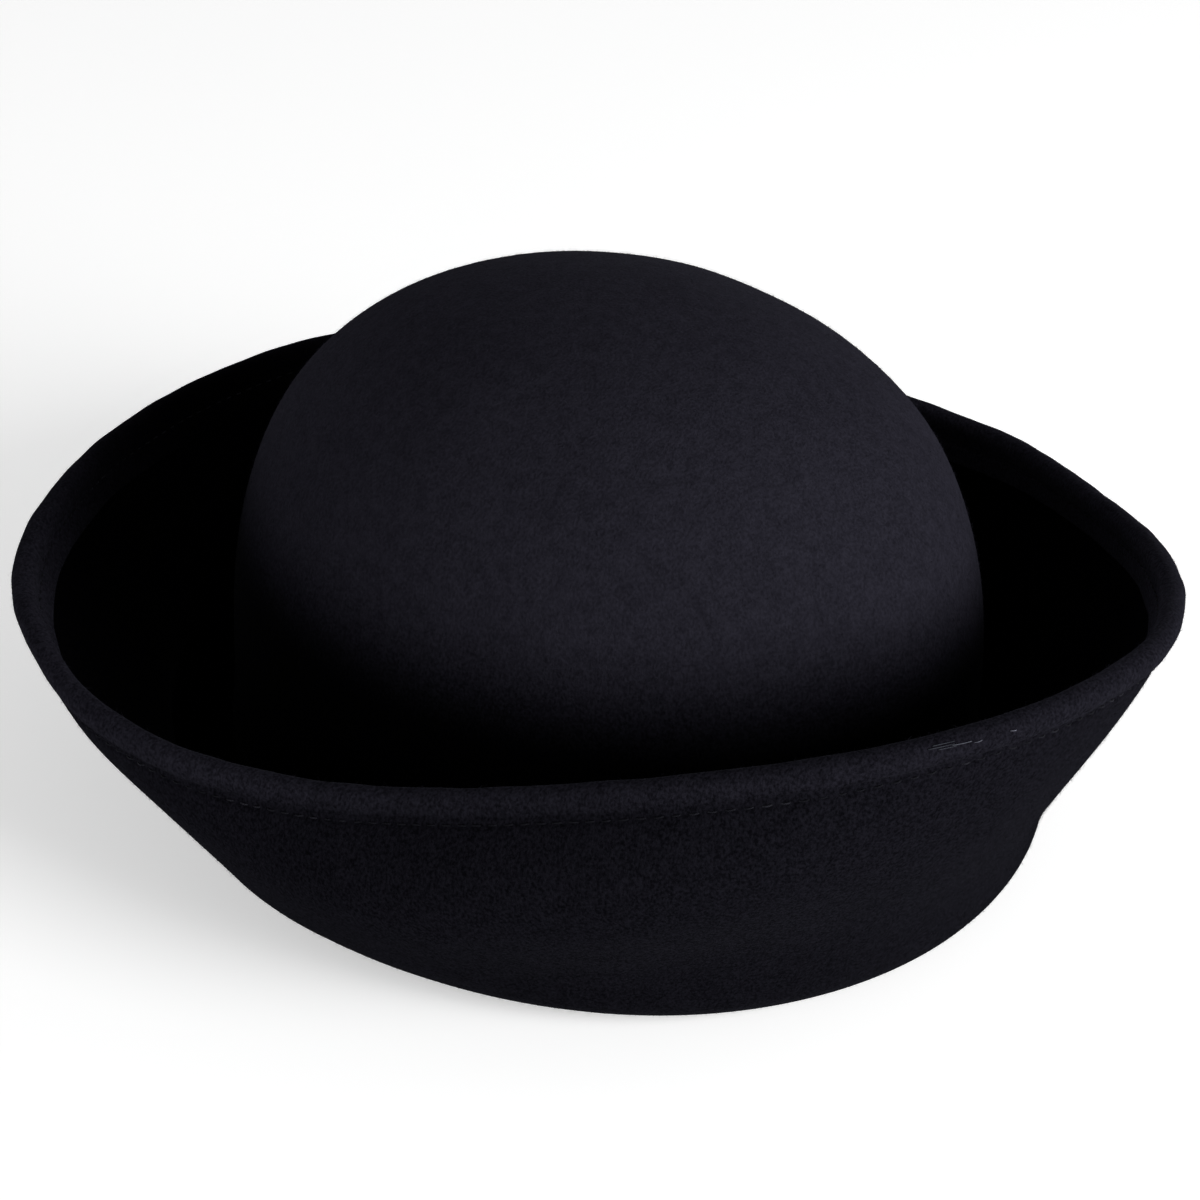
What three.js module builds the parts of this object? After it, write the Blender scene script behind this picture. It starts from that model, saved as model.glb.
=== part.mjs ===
import * as THREE from 'three';
import { mergeVertices } from 'three/addons/utils/BufferGeometryUtils.js';

// A blocked wool-felt hat: round crown, brim turned up all the way round, and
// the brim's edge turned in over a steel wire. Millimetres. +Z is up, the
// front faces -Y and X runs across the hat. Angles run round the hat from the
// front towards +X, and a meridian is the hat's section at one angle, [r, z].

const stations = 60;          // sections round the hat
const felt = 1.9;             // thickness of the felt
const gap = 0.3;              // clearance between pieces that touch
const step = 1e-4;            // short way along a curve, for its direction

const crown = {
  halfLength: 101.2,          // front to back, outside
  halfWidth: 84.6,            // side to side, outside
  height: 130.6,
  domeStart: 24.7,            // height where the sides begin to curve in
  roundness: 2.98,            // how square the dome's shoulder is
  narrowing: 2.17,            // how fast the dome closes towards its top
  lean: 3.8,                  // forward shift of the top
  footSpread: 1,              // how far the sides run out at the foot
  rows: 10,                   // rings from the top to the widest one
};

const trough = {
  filletRadius: 4.6,          // bend from the crown into the brim
  landWidth: 3.2,             // flat ring that the hat stands on
  foldHeight: 10,             // bend from the flat ring into the turned-up brim
  foldStart: 0.3,             // part of that bend that the flat ring takes up
  foldRows: 2,
  wallRows: 4,
};

const hem = {
  tunnelRadius: 0.95,         // channel that holds the wire
  pinchDepth: 3.4,            // how far below the wire the two layers meet
  pinchRows: 3,
  depth: 11,                  // how far the turned-in edge reaches
  stitchDepth: 5,             // stitch line below the wire
  loopRows: 6,                // facets of the bend over the wire
  sample: 0.1,                // last part of the brim line, which gives its length
};

const wire = { radius: 0.4, sides: 6, endGap: 1.2 };
const joiner = { radius: 0.65, bore: 0.5, sides: 8 };
const thread = { radius: 0.3, sides: 4 };

const band = {
  bottom: 7,                  // lower edge above the resting plane
  height: 28,
  thickness: 1,
  overlap: 14,                // degrees of overlap at the back
  liftedReach: 1.6,           // overlaps beside the joint where the stitches stand further in
  stitchHeight: 10,           // stitch line above the resting plane
  tackMargin: 2,              // from that line, and from the top, to the joint's stitches
  tackHalfWidth: 0.3,         // degrees
  rows: 4,
};

const label = { width: 10, height: 16, thickness: 0.5, angle: 172, drop: 4 };

// A wave round the hat: its mean, then the sizes of its first four swells, even
// and odd about the front.
function wave(mean, even, odd = []) {
  return (angle) => {
    let value = mean;
    even.forEach((size, k) => { value += size * Math.cos((k + 1) * angle); });
    odd.forEach((size, k) => { value += size * Math.sin((k + 1) * angle); });
    return value;
  };
}

const rimRadius = wave(136.4, [-2.2, 10.9, 6, 1.8], [0.2, 0.1, -1, -3.1]);
const rimHeight = wave(64.9, [14.9, 10.4, 3], [0, 0.2, -1.9, -1.2]);
const foldReach = wave(19.8, [-1.7, -1.7, 0.7, -3]);      // brim fold beyond the crown
const wallBelly = wave(1, [3.9, -3, -5.3, 2.5], [-0.9, -2, -1.3]);
const wallFlare = wave(-2.7, [0, 0.5, -1.2, 2.4]);        // S-curve of the brim

const radians = THREE.MathUtils.degToRad;
const backAngle = Math.PI;
const quarter = Math.PI / 2;
const beadRadius = hem.tunnelRadius + felt / 2;           // to the middle of the felt
const pinch = (felt + gap) / 2;

const smooth = (x) => THREE.MathUtils.smoothstep(x, 0, 1);

// Half-size of the crown's oval at an angle, at a distance inside its surface.
function oval(angle, inset) {
  const along = Math.cos(angle) / (crown.halfLength - inset);
  const across = Math.sin(angle) / (crown.halfWidth - inset);
  return 1 / Math.hypot(along, across);
}

// Unit normal of a curve that runs down the crown and up the brim, on its outer and
// upper side.
function normalOf(curve, u) {
  const a = curve(Math.max(u - step, 0));
  const b = curve(Math.min(u + step, 1));
  const along = [b[0] - a[0], b[1] - a[1]];
  const length = Math.hypot(...along);
  return [-along[1] / length, along[0] / length];
}

const offset = (point, normal, distance) => [
  point[0] + normal[0] * distance,
  point[1] + normal[1] * distance,
];

// Dome from its top, u = 0, to its widest ring, u = 1, at a depth inside the outer face.
function dome(angle, inset) {
  const side = oval(angle, inset);
  const rise = crown.height - inset - crown.domeStart;
  return (u) => {
    const tilt = (1 - u) ** 1.5 * quarter;         // closer rows towards the sides
    const r = side * Math.max(Math.cos(tilt), 0) ** (2 / crown.narrowing);
    const z = crown.domeStart + rise * Math.sin(tilt) ** (2 / crown.roundness);
    return [r, z];
  };
}

// Middle line of the turned-up brim without its hem, from the resting plane, u = 0,
// to the wire, u = 1.
function brimLine(angle) {
  const foot = oval(angle, 0) + foldReach(angle) - felt / 2;
  const top = rimRadius(angle);
  const height = rimHeight(angle);
  return (u) => {
    const belly = 4 * wallBelly(angle) * u * (1 - u);
    const flare = wallFlare(angle) * Math.sin(2 * Math.PI * u);
    return [foot + (top - foot) * u + belly + flare, height * u];
  };
}

// Length that the brim line would have if it all ran as it does near the wire.
function brimLength(line) {
  const end = line(1);
  const near = line(1 - hem.sample);
  return Math.hypot(end[0] - near[0], end[1] - near[1]) / hem.sample;
}

// Point and normal on the brim line at a distance below the wire, moved outwards.
function besideBrim(angle, below, outwards) {
  const line = brimLine(angle);
  const u = 1 - below / brimLength(line);
  const normal = normalOf(line, u).map((value) => -value);
  return { point: offset(line(u), normal, outwards), normal };
}

// How far each layer of the hem stands off the brim line, at a distance below the wire.
const layerOffset = (below) => pinch + (beadRadius - pinch) * smooth(1 - below / hem.pinchDepth);

// The felt's middle line in one meridian: points with normals that point away from the
// head, from the top of the crown to the cut edge of the hem.
function feltLine(angle) {
  const half = felt / 2;
  const path = [];
  const add = (point, normal) => path.push({ point, normal });
  const addCurve = (curve, from, to, count) => {
    for (let i = 0; i <= count; i++) {
      const u = from + ((to - from) * i) / count;
      add(curve(u), normalOf(curve, u));
    }
  };

  const side = oval(angle, half);
  const foot = side + crown.footSpread;
  const filletTop = half + trough.filletRadius;
  const landStart = foot + trough.filletRadius;
  const landEnd = landStart + trough.landWidth;

  addCurve(dome(angle, half), 0, 1, crown.rows);
  add([foot, filletTop], [1, 0]);
  for (const turn of [quarter / 3, (2 * quarter) / 3]) {
    const normal = [Math.cos(turn), Math.sin(turn)];
    add([landStart - trough.filletRadius * normal[0], filletTop - trough.filletRadius * normal[1]], normal);
  }
  add([landStart, half], [0, 1]);
  add([landEnd, half], [0, 1]);

  const line = brimLine(angle);
  const height = rimHeight(angle);
  const foldWidth = line(0)[0] - landEnd;
  const fold = (u) => {
    const z = trough.foldHeight * (1 - Math.cos(u * quarter));
    return [line(z / height)[0] - foldWidth * (1 - Math.sin(u * quarter)), z + half];
  };
  addCurve(fold, trough.foldStart, 1, trough.foldRows);

  const start = (trough.foldHeight + half) / height;
  const wallLength = (1 - start) * brimLength(line);
  for (let i = 1; i <= trough.wallRows; i++) {
    const below = THREE.MathUtils.lerp(wallLength, hem.depth, i / trough.wallRows);
    const settle = smooth(i / trough.wallRows);
    const { point, normal } = besideBrim(angle, below, layerOffset(below) * settle);
    add(point, normal.map((value) => -value));
  }
  const hemDepths = Array.from({ length: hem.pinchRows + 1 }, (_, i) => (hem.pinchDepth * i) / hem.pinchRows);
  hemDepths.push(hem.stitchDepth);
  for (const below of [...hemDepths].reverse()) {
    const { point, normal } = besideBrim(angle, below, layerOffset(below));
    add(point, normal.map((value) => -value));
  }
  const { point: centre, normal: out } = besideBrim(angle, 0, 0);
  const up = [-out[1], out[0]];
  for (let i = 1; i < hem.loopRows; i++) {
    const turn = (Math.PI * i) / hem.loopRows;
    const normal = [0, 1].map((k) => out[k] * Math.cos(turn) + up[k] * Math.sin(turn));
    add(offset(centre, normal, beadRadius), normal.map((value) => -value));
  }
  for (const below of [...hemDepths, hem.depth]) {
    const { point, normal } = besideBrim(angle, below, -layerOffset(below));
    add(point, normal);
  }
  return path;
}

// Place a meridian point on the hat.
const place = ([r, z], angle, forward = 0) =>
  new THREE.Vector3(r * Math.sin(angle), -r * Math.cos(angle) - forward, z);

function meshFrom(name, points, faces, material) {
  const geometry = new THREE.BufferGeometry();
  geometry.setAttribute('position', new THREE.Float32BufferAttribute(points.flatMap((p) => p.toArray()), 3));
  geometry.setIndex(faces);
  const merged = mergeVertices(geometry);
  merged.computeVertexNormals();
  const mesh = new THREE.Mesh(merged, material);
  mesh.name = name;
  return mesh;
}

const nearby = 1e-6;          // angles closer than this are the same
const stationAngle = (i) => (2 * Math.PI * i) / stations;

// Faces of a grid of rows; each row has `columns` points and the next row follows it.
function gridFaces(rows, columns, closeRows, closeColumns) {
  const faces = [];
  const lastRow = closeRows ? rows : rows - 1;
  const lastColumn = closeColumns ? columns : columns - 1;
  for (let i = 0; i < lastRow; i++) {
    for (let j = 0; j < lastColumn; j++) {
      const a = i * columns + j;
      const b = i * columns + ((j + 1) % columns);
      const c = ((i + 1) % rows) * columns + j;
      const d = ((i + 1) % rows) * columns + ((j + 1) % columns);
      faces.push(a, b, d, a, d, c);
    }
  }
  return faces;
}

// A ring that follows the hat: `section(angle)` gives its closed outline in the meridian,
// counter-clockwise in [r, z]. Its ends are capped unless it runs all the way round.
function ring(name, section, material, from = 0, to = 2 * Math.PI) {
  const closed = from === 0;
  const angles = [from];
  for (let i = Math.floor(from / stationAngle(1)) + 1; stationAngle(i) < to - nearby; i++) {
    if (stationAngle(i) > from + nearby) angles.push(stationAngle(i));
  }
  if (!closed) angles.push(to);
  const points = angles.flatMap((angle) => section(angle).reverse().map((p) => place(p, angle)));
  const columns = points.length / angles.length;
  const faces = gridFaces(angles.length, columns, closed, true);
  if (!closed) {
    const end = points.length - columns;
    for (let j = 1; j < columns - 1; j++) {
      faces.push(0, j + 1, j, end, end + j, end + j + 1);
    }
  }
  return meshFrom(name, points, faces, material);
}

// Between two stations the pieces run straight, so a value is read off the chord.
function chord(section) {
  return (angle) => {
    const position = angle / stationAngle(1);
    const nearest = Math.round(position);
    if (Math.abs(position - nearest) < nearby) return section(stationAngle(nearest));
    const low = Math.floor(position);
    const ends = [low, low + 1].map((i) => section(stationAngle(i)).map((p) => place(p, stationAngle(i))));
    return ends[0].map((start, j) => {
      // the point of the straight piece that lies in this meridian plane
      const across = new THREE.Vector3(Math.cos(angle), Math.sin(angle), 0);
      const a = start.dot(across);
      const b = ends[1][j].dot(across);
      const p = start.clone().lerp(ends[1][j], a / (a - b));
      return [Math.hypot(p.x, p.y), p.z];
    });
  };
}

// Round section about a meridian point.
function roundSection([r, z], radius, sides) {
  return Array.from({ length: sides }, (_, j) => {
    const turn = (2 * Math.PI * j) / sides;
    return [r + radius * Math.cos(turn), z + radius * Math.sin(turn)];
  });
}

const feltMaterial = new THREE.MeshStandardMaterial({ color: 0x17171c, roughness: 0.95, metalness: 0 });
const ribbonMaterial = new THREE.MeshStandardMaterial({ color: 0x101014, roughness: 0.8, metalness: 0 });
const threadMaterial = new THREE.MeshStandardMaterial({ color: 0x1d1d24, roughness: 0.6, metalness: 0 });
const steelMaterial = new THREE.MeshStandardMaterial({ color: 0x8a8a8e, roughness: 0.4, metalness: 1 });
const brassMaterial = new THREE.MeshStandardMaterial({ color: 0xb08d4a, roughness: 0.35, metalness: 1 });
const labelMaterial = new THREE.MeshStandardMaterial({ color: 0x2a2a30, roughness: 0.7, metalness: 0 });

// Crown and brim, blocked from one felt body.
function feltBody() {
  const loops = [];
  for (let i = 0; i < stations; i++) {
    const angle = stationAngle(i);
    const path = feltLine(angle);
    const half = felt / 2;
    const outer = path.map(({ point, normal }) => offset(point, normal, half));
    const inner = path.map(({ point, normal }) => offset(point, normal, -half)).reverse();
    const lean = ([, z]) => crown.lean * smooth((z - crown.domeStart) / (crown.height - crown.domeStart));
    const onCrown = (j) => Math.min(j, 2 * path.length - 1 - j) <= crown.rows;
    loops.push([...outer, ...inner].map((p, j) => place(p, angle, onCrown(j) ? lean(p) : 0)));
  }
  const columns = loops[0].length;
  for (const loop of loops) {
    loop[0].set(0, -crown.lean, crown.height);
    loop[columns - 1].set(0, -crown.lean, crown.height - felt);
  }
  const isPole = (v) => v % columns === 0 || v % columns === columns - 1;
  const all = gridFaces(stations, columns, true, false);
  const faces = [];
  for (let k = 0; k < all.length; k += 3) {
    const face = all.slice(k, k + 3);
    if (face.filter(isPole).length < 2) faces.push(...face);      // the rows close in a point there
  }
  return meshFrom('felt_body', loops.flat(), faces, feltMaterial);
}

const wireCentre = (angle) => [rimRadius(angle), rimHeight(angle)];

// Steel wire round the rim; its ends meet inside the joiner at the back.
function brimWire() {
  const section = chord((angle) => roundSection(wireCentre(angle), wire.radius, wire.sides));
  const half = wire.endGap / 2 / rimRadius(backAngle);
  return ring('brim_wire', section, steelMaterial, backAngle + half, backAngle + 2 * Math.PI - half);
}

// Crimped tube over the wire's ends.
function wireJoiner() {
  const { sides } = joiner;
  const points = [];
  for (const i of [-1, 0, 1]) {
    const angle = backAngle + stationAngle(i);
    for (const radius of [joiner.radius, joiner.bore]) {
      points.push(...roundSection(wireCentre(angle), radius, sides).map((p) => place(p, angle)));
    }
  }
  const faces = [];
  const at = (i, layer, j) => (i * 2 + layer) * sides + (j % sides);
  const quad = (a, b, c, d) => faces.push(a, b, c, a, c, d);
  for (let j = 0; j < sides; j++) {
    for (let i = 0; i < 2; i++) {
      quad(at(i, 0, j + 1), at(i, 0, j), at(i + 1, 0, j), at(i + 1, 0, j + 1));
      quad(at(i, 1, j), at(i, 1, j + 1), at(i + 1, 1, j + 1), at(i + 1, 1, j));
    }
    quad(at(0, 0, j), at(0, 0, j + 1), at(0, 1, j + 1), at(0, 1, j));
    quad(at(2, 0, j + 1), at(2, 0, j), at(2, 1, j), at(2, 1, j + 1));
  }
  return meshFrom('wire_joiner', points, faces, brassMaterial);
}

// Run of hem stitching on the outer face, side = 1, or on the turned-in edge, side = -1.
function hemThread(name, side) {
  const standOff = pinch + felt / 2 + gap + thread.radius;
  const section = (angle) => {
    const { point } = besideBrim(angle, hem.stitchDepth, side * standOff);
    return roundSection(point, thread.radius, thread.sides);
  };
  return ring(name, section, threadMaterial);
}

// Point on the crown's inside at a height, at a distance in from its inner face.
function insideCrown(angle, z, distance) {
  const inset = felt + distance;
  if (z <= crown.domeStart) {
    const spread = (crown.footSpread * (crown.domeStart - z)) / (crown.domeStart - trough.filletRadius);
    return [oval(angle, inset) + Math.max(spread, 0), z];
  }
  const rise = (z - crown.domeStart) / (crown.height - inset - crown.domeStart);
  const tilt = Math.asin(rise ** (crown.roundness / 2));
  return [oval(angle, inset) * Math.cos(tilt) ** (2 / crown.narrowing), z];
}

// Strip that lies against the crown's inside between two heights.
function stripSection(angle, bottom, top, clearance, thickness) {
  const heights = Array.from({ length: band.rows + 1 }, (_, i) => bottom + ((top - bottom) * i) / band.rows);
  const outer = heights.map((z) => insideCrown(angle, z, clearance));
  const inner = heights.map((z) => insideCrown(angle, z, clearance + thickness)).reverse();
  return [...outer, ...inner];
}

const bandTop = band.bottom + band.height;

// Ribbon sweatband; its ends overlap at the back.
function sweatband() {
  const overlap = radians(band.overlap);
  const start = backAngle - overlap / 2;
  const end = start + 2 * Math.PI + overlap;
  const stepIn = band.thickness + gap;
  const section = (angle) => {
    const late = (angle - (end - 2 * overlap)) / overlap;
    const clearance = gap + stepIn * smooth(late);
    return stripSection(angle, band.bottom, bandTop, clearance, band.thickness);
  };
  return ring('sweatband', section, ribbonMaterial, start, end);
}

// Stitching of the sweatband: along the ribbon, or on the felt in the trough.
function bandThread(name, onRibbon) {
  const section = (angle) => {
    const inwards = onRibbon ? gap + band.thickness + gap + thread.radius : -felt - gap - thread.radius;
    const lifted = onRibbon && Math.abs(angle - backAngle) < radians(band.overlap * band.liftedReach);
    const distance = lifted ? inwards + band.thickness + gap : inwards;
    return roundSection(insideCrown(angle, band.stitchHeight, distance), thread.radius, thread.sides);
  };
  return ring(name, section, threadMaterial);
}

// Upright row of stitches that closes the sweatband's overlap.
function bandJointThread() {
  const inner = gap + 2 * (band.thickness + gap);
  const bottom = band.stitchHeight + band.tackMargin;
  const top = bandTop - band.tackMargin;
  const section = (angle) => stripSection(angle, bottom, top, inner, 2 * thread.radius);
  const half = radians(band.tackHalfWidth);
  return ring('sweatband_joint_thread', section, threadMaterial, backAngle - half, backAngle + half);
}

// Blank woven loop, folded once, that hangs on the sweatband beside its joint.
function sizeLabel() {
  const centre = radians(label.angle);
  const half = label.width / 2 / crown.halfLength;
  const bottom = bandTop - label.height - label.drop;
  const clearance = 2 * (band.thickness + gap) + gap;
  const section = (angle) => stripSection(angle, bottom, bottom + label.height, clearance, 2 * label.thickness);
  return ring('size_label', section, labelMaterial, centre - half, centre + half);
}

const hat = new THREE.Group();
hat.add(
  feltBody(),
  brimWire(),
  wireJoiner(),
  hemThread('hem_needle_thread', 1),
  hemThread('hem_bobbin_thread', -1),
  sweatband(),
  bandThread('sweatband_needle_thread', true),
  bandThread('sweatband_bobbin_thread', false),
  bandJointThread(),
  sizeLabel(),
);

// The origin stands under the middle of the hat, on its resting plane.
const middle = new THREE.Box3().setFromObject(hat, true).getCenter(new THREE.Vector3());
hat.position.set(-middle.x, -middle.y, 0);

export default hat;
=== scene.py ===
import math

import bmesh
import bpy
import numpy as np
from mathutils import Matrix, Vector


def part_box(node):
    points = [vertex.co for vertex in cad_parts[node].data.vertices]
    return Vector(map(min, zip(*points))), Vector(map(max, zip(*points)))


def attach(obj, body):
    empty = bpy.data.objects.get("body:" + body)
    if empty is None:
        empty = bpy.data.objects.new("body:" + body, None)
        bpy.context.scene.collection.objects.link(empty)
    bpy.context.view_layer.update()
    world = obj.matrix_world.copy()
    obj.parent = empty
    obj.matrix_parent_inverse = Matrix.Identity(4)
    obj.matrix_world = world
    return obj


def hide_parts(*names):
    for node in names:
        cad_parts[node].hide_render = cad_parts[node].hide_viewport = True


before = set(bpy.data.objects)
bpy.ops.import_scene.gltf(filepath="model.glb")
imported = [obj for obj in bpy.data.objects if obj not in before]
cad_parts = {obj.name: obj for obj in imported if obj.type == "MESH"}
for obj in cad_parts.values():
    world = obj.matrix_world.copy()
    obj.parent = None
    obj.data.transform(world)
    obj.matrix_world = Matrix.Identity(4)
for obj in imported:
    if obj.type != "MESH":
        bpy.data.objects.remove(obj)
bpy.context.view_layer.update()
mm = 0.001
print("frame loaded:", ", ".join(sorted(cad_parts)))


# middle of a CAD node's box, seen from above
def boxCentre(node):
    low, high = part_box(node)
    return [(low[k] + high[k]) / 2 for k in range(2)]


# a node's output that takes part in plain arithmetic
class Link:
    def __init__(self, graph, socket):
        self.graph = graph
        self.socket = socket

    def maths(self, operation, *others):
        values = dict(enumerate((self, *others)))
        return self.graph.node("ShaderNodeMath", {"operation": operation}, values)

    def __add__(self, other):
        return self.maths("ADD", other)

    def __sub__(self, other):
        return self.maths("SUBTRACT", other)

    def __mul__(self, other):
        return self.maths("MULTIPLY", other)

    def __rsub__(self, other):
        return self.graph.node("ShaderNodeMath", {"operation": "SUBTRACT"}, {0: other, 1: self})

    __radd__ = __add__
    __rmul__ = __mul__


class Graph:
    def __init__(self, tree):
        self.tree = tree

    # any node: its kind, its settings, the values or links of its sockets, and the output wanted
    def node(self, kind, settings=None, inputs=None, output=0):
        made = self.tree.nodes.new(kind)
        for name, value in (settings or {}).items():
            setattr(made, name, value)
        for name, value in (inputs or {}).items():
            if isinstance(value, Link):
                self.tree.links.new(value.socket, made.inputs[name])
            else:
                made.inputs[name].default_value = value
        return Link(self, made.outputs[output])

    def join(self, link, target):
        self.tree.links.new(link.socket, target)


class Tree(Graph):
    def __init__(self, name, **wanted):
        self.group = bpy.data.node_groups.new(name, "GeometryNodeTree")
        super().__init__(self.group)
        face = self.group.interface
        face.new_socket("Geometry", in_out="INPUT", socket_type="NodeSocketGeometry")
        for label, kind in {**wanted, "Seed": "Int", "Material": "Material"}.items():
            face.new_socket(label, in_out="INPUT", socket_type="NodeSocket" + kind)
        face.new_socket("Geometry", in_out="OUTPUT", socket_type="NodeSocketGeometry")
        self.start = self.tree.nodes.new("NodeGroupInput")
        self.end = self.tree.nodes.new("NodeGroupOutput")

    def given(self, name):
        return Link(self, self.start.outputs[name])

    # random number or vector between two limits
    def random(self, low, high):
        if isinstance(low, tuple):
            return self.node("FunctionNodeRandomValue", {"data_type": "FLOAT_VECTOR"},
                             {0: low, 1: high, "Seed": self.given("Seed")})
        return self.node("FunctionNodeRandomValue", {"data_type": "FLOAT"},
                         {2: low, 3: high, "Seed": self.given("Seed")}, 1)

    def turned(self, rotation, low, high):
        by = self.node("FunctionNodeEulerToRotation", None, {"Euler": self.random(low, high)})
        return self.node("FunctionNodeRotateRotation", {"rotation_space": "LOCAL"},
                         {"Rotation": rotation, "Rotate By": by})

    def finish(self, points, shape, rotation, low, high):
        placed = self.node("GeometryNodeInstanceOnPoints", None, {
            "Points": points, "Instance": shape, "Rotation": rotation,
            "Scale": self.random(low, high)})
        real = self.node("GeometryNodeRealizeInstances", None, {"Geometry": placed})
        painted = self.node("GeometryNodeSetMaterial", None,
                            {"Geometry": real, "Material": self.given("Material")})
        self.join(painted, self.end.inputs[0])

    # grow it on a carrier mesh and leave a plain mesh
    def grow(self, piece, **values):
        modifier = piece.modifiers.new(self.group.name, "NODES")
        modifier.node_group = self.group
        names = {item.name: item.identifier for item in self.group.interface.items_tree
                 if item.in_out == "INPUT"}
        for name, value in values.items():
            modifier[names[name]] = value
        seen = bpy.context.evaluated_depsgraph_get()
        grown = bpy.data.meshes.new_from_object(piece.evaluated_get(seen), depsgraph=seen,
                                                preserve_all_data_layers=True)
        piece.modifiers.clear()
        piece.data = grown
        print(piece.name + ":", len(grown.polygons), "faces")
        return piece


class Shader(Graph):
    def __init__(self, name):
        self.material = bpy.data.materials.new(name)
        self.material.use_nodes = True
        super().__init__(self.material.node_tree)
        self.surface = self.tree.nodes["Principled BSDF"]
        self.place = self.node("ShaderNodeTexCoord", output="Object")

    def noise(self, size, detail=2, stretch=(1, 1, 1), rough=0.5):
        scaled = self.node("ShaderNodeMapping", None, {"Vector": self.place, "Scale": stretch})
        inputs = {"Vector": scaled, "Scale": 1 / size, "Detail": detail, "Roughness": rough}
        return self.node("ShaderNodeTexNoise", None, inputs)

    def attribute(self, name):
        return self.node("ShaderNodeAttribute", {"attribute_name": name}, output="Fac")

    def uvAxis(self, axis):
        flat = self.node("ShaderNodeUVMap", {"uv_map": "UVMap"})
        return self.node("ShaderNodeSeparateXYZ", None, {"Vector": flat}, axis)

    def ramp(self, value, low, high):
        inputs = {"Value": value, "From Min": low, "From Max": high}
        return self.node("ShaderNodeMapRange", {"clamp": True}, inputs)

    def blend(self, amount, first, second):
        # a Mix node's colours are its sockets 6 and 7, and its third output
        inputs = {0: amount, 6: first, 7: second}
        return self.node("ShaderNodeMix", {"data_type": "RGBA"}, inputs, 2)

    def bump(self, height, depth, strength=1.0, normal=None):
        inputs = {"Height": height, "Distance": depth, "Strength": strength}
        if normal is not None:
            inputs["Normal"] = normal
        return self.node("ShaderNodeBump", None, inputs)

    def finish(self, links, **fixed):
        for name, value in fixed.items():
            self.surface.inputs[name.replace("_", " ")].default_value = value
        for name, link in links.items():
            self.join(link, self.surface.inputs[name])
        return self.material


# the camera comes first; it looks down on the hat from its front left
view = {
    "azimuth": -45.37, "elevation": 29.69, "roll": 1.78,      # degrees
    "distance": 0.74374, "aimHeight": 0.04712, "aimAside": -0.00018,
    "lens": 89.5, "sensor": 36,
}

hatCentre = boxCentre("felt_body")


def makeCamera(hatOrigin):
    azimuth, elevation, roll = (math.radians(view[k]) for k in ("azimuth", "elevation", "roll"))
    flat = math.cos(elevation)
    back = Vector((math.sin(azimuth) * flat, -math.cos(azimuth) * flat, math.sin(elevation)))
    right = Vector((math.cos(azimuth), math.sin(azimuth), 0))
    up = back.cross(right)
    turnedRight = right * math.cos(roll) + up * math.sin(roll)
    turnedUp = up * math.cos(roll) - right * math.sin(roll)
    aim = Vector((*hatOrigin, view["aimHeight"])) + right * view["aimAside"]
    data = bpy.data.cameras.new("camera")
    data.lens = view["lens"]
    data.sensor_width = view["sensor"]
    data.clip_start = 0.01
    camera = bpy.data.objects.new("camera", data)
    axes = Matrix((turnedRight, turnedUp, back)).transposed().to_4x4()
    camera.matrix_world = Matrix.Translation(aim + back * view["distance"]) @ axes
    bpy.context.collection.objects.link(camera)
    bpy.context.scene.camera = camera


# the hat's shape, in metres; angles run from the front, -Y, towards +X
crown = {
    "halfLength": 101.2 * mm, "halfWidth": 84.6 * mm, "height": 130.6 * mm,
    "domeStart": 24.7 * mm, "roundness": 2.98, "narrowing": 2.17,
    "lean": 3.8 * mm, "footSpread": 1 * mm, "rows": 46, "sideRows": 6,
    "crowding": 1.5,                                           # rows crowd together at the foot
}
trough = {
    "filletRadius": 4.6 * mm, "filletRows": 6, "landWidth": 3.2 * mm,
    "foldHeight": 10 * mm, "foldStart": 0.15, "foldRows": 7, "wallRows": 28,
}
hem = {
    "tunnelRadius": 0.95 * mm, "pinchDepth": 3.4 * mm, "depth": 11 * mm,
    "stitchDepth": 5.1 * mm, "stitchSink": 0.38 * mm, "stitchSinkWidth": 0.62 * mm,
    "creaseSink": 0.28 * mm, "shoulder": 2.4, "shoulderEase": 0.7, "rows": 34, "beadRows": 12,
}
felt = {
    "thickness": 1.9 * mm, "gap": 0.3 * mm, "stations": 264,
    "brimWander": 0.35 * mm, "crownWander": 0.35 * mm,         # how uneven the blocking left it
    "wanderLength": 75 * mm, "beadWander": 0.16 * mm,
    "brimFrom": 1.05, "brimFade": 0.25,                        # in crown widths from the middle
    "crownFrom": 45 * mm, "crownFade": 50 * mm, "flatBelow": 4 * mm, "flatFade": 30 * mm,
}
# painted light and shade in the felt's colour: the crown painted lightest, the bead over the wire
# lighter than the wall below it, the wall darker and the trough darkest as painted shade; angles in
# degrees
tonesAndShading = {
    "crown": 0.58, "trough": 0.02, "inside": 0.3, "wall": 0.18, "wallFoot": 0.155, "bead": 0.42,
    "flap": 0.42, "flapSwing": 0.26, "flapLitAngle": -40,      # the turned-in edge, painted lighter on the side the key light falls on
    "footHeight": 55 * mm, "footFade": 32 * mm,                # the crown's foot, painted dark as the brim's shadow
    # the crown's painted shadow reaches lower on the side the key light comes from
    "footDip": 18 * mm, "footDipAngle": 52, "footDipSpread": 22,
    # a painted shade on the crown's side away from the key light
    "sideDip": 0.18, "sideDipAngle": -122, "sideDipSpread": 45, "sideDipFade": 60 * mm,
    # the bead painted a little darker at the front
    "beadDip": 0.13, "beadDipAngle": -10, "beadDipSpread": 28,
    "backAngle": 184, "backSpread": 30, "backBead": 0.75, "backFlap": 0.92,    # the back of the rim, painted dark as shade
    "edgeReach": 1.6,                                          # how far a change of painted shading spreads
}
# how rough the nap looks
raised = {
    "crown": 0.12, "crownFoot": 0.9, "floor": 0.5, "brim": 1.0, "beadSmoother": 0.2, "bead": 0.8,
}


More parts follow.
